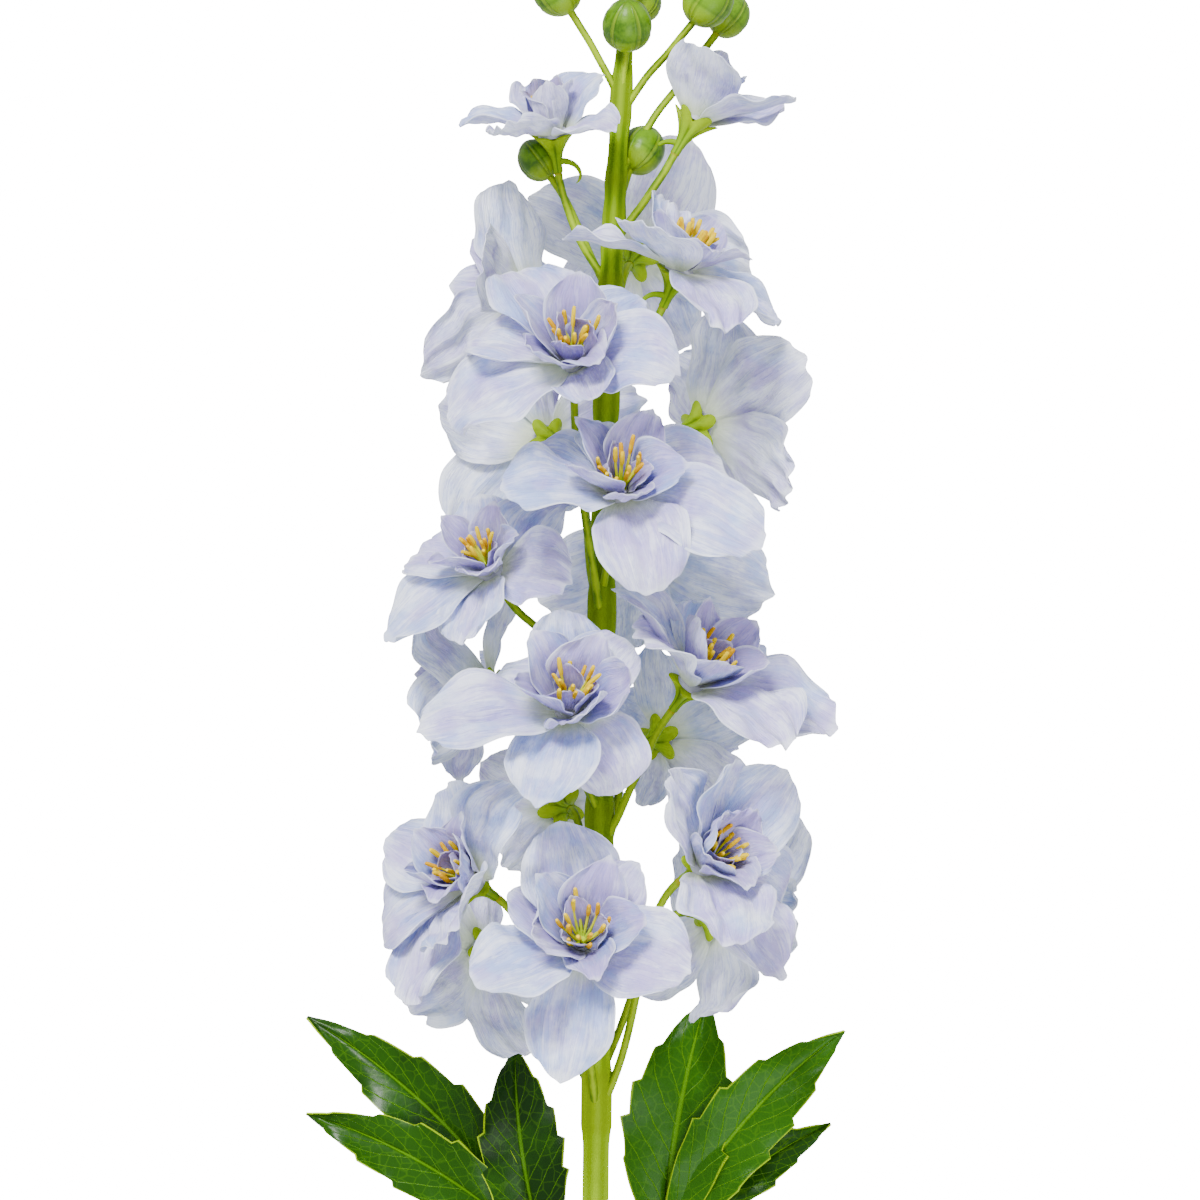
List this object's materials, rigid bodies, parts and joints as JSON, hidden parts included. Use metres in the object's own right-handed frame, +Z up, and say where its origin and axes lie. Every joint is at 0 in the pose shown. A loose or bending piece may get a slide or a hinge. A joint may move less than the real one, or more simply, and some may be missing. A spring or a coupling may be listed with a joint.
{
  "type": "delphinium flower spike",
  "caption": "Cut delphinium spike lying on its side: a green stem with stalked, many-petalled pale blue blooms round yellow stamens, green buds at the tip and lobed leaves near the cut end.",
  "frame": {"origin": "on the surface that the spike lies on, under the middle of its outer box", "axes": "+Y along the stem towards the bud tip, +X to the right of the spike seen from above with its tip ahead, +Z up from the surface"},
  "size_m": [0.1648, 0.5847, 0.1189],
  "materials": {
    "stem_green": "satin plant skin, yellow-green",
    "leaf_green": "semi-gloss leaf, deep green with pale veins",
    "petal_blue": "soft matt petal, pale periwinkle blue with fine veins",
    "stamen_yellow": "matt pollen yellow"
  },
  "bodies": {
    "root": {"stem": "stem_green", "bloom_01_petals": "petal_blue", "bloom_01_stamens": "stamen_yellow", "bloom_02_petals": "petal_blue", "bloom_02_stamens": "stamen_yellow", "bloom_03_petals": "petal_blue", "bloom_03_stamens": "stamen_yellow", "bloom_04_petals": "petal_blue", "bloom_04_stamens": "stamen_yellow", "bloom_05_petals": "petal_blue", "bloom_05_stamens": "stamen_yellow", "bloom_06_petals": "petal_blue", "bloom_06_stamens": "stamen_yellow", "bloom_07_petals": "petal_blue", "bloom_07_stamens": "stamen_yellow", "bloom_08_petals": "petal_blue", "bloom_08_stamens": "stamen_yellow", "bloom_09_petals": "petal_blue", "bloom_09_stamens": "stamen_yellow", "bloom_10_petals": "petal_blue", "bloom_10_stamens": "stamen_yellow", "bloom_11_petals": "petal_blue", "bloom_11_stamens": "stamen_yellow", "bloom_12_petals": "petal_blue", "bloom_12_stamens": "stamen_yellow", "bloom_13_petals": "petal_blue", "bloom_13_stamens": "stamen_yellow", "bloom_14_petals": "petal_blue", "bloom_14_stamens": "stamen_yellow", "bloom_15_petals": "petal_blue", "bloom_15_stamens": "stamen_yellow", "bloom_16_petals": "petal_blue", "bloom_16_stamens": "stamen_yellow", "bloom_17_petals": "petal_blue", "bloom_17_stamens": "stamen_yellow", "bloom_18_petals": "petal_blue", "bloom_18_stamens": "stamen_yellow", "bloom_19_petals": "petal_blue", "bloom_19_stamens": "stamen_yellow", "bloom_20_petals": "petal_blue", "bloom_20_stamens": "stamen_yellow", "bloom_21_petals": "petal_blue", "bloom_21_stamens": "stamen_yellow", "leaf_left": "leaf_green", "leaf_right": "leaf_green"}
  },
  "joints": []
}
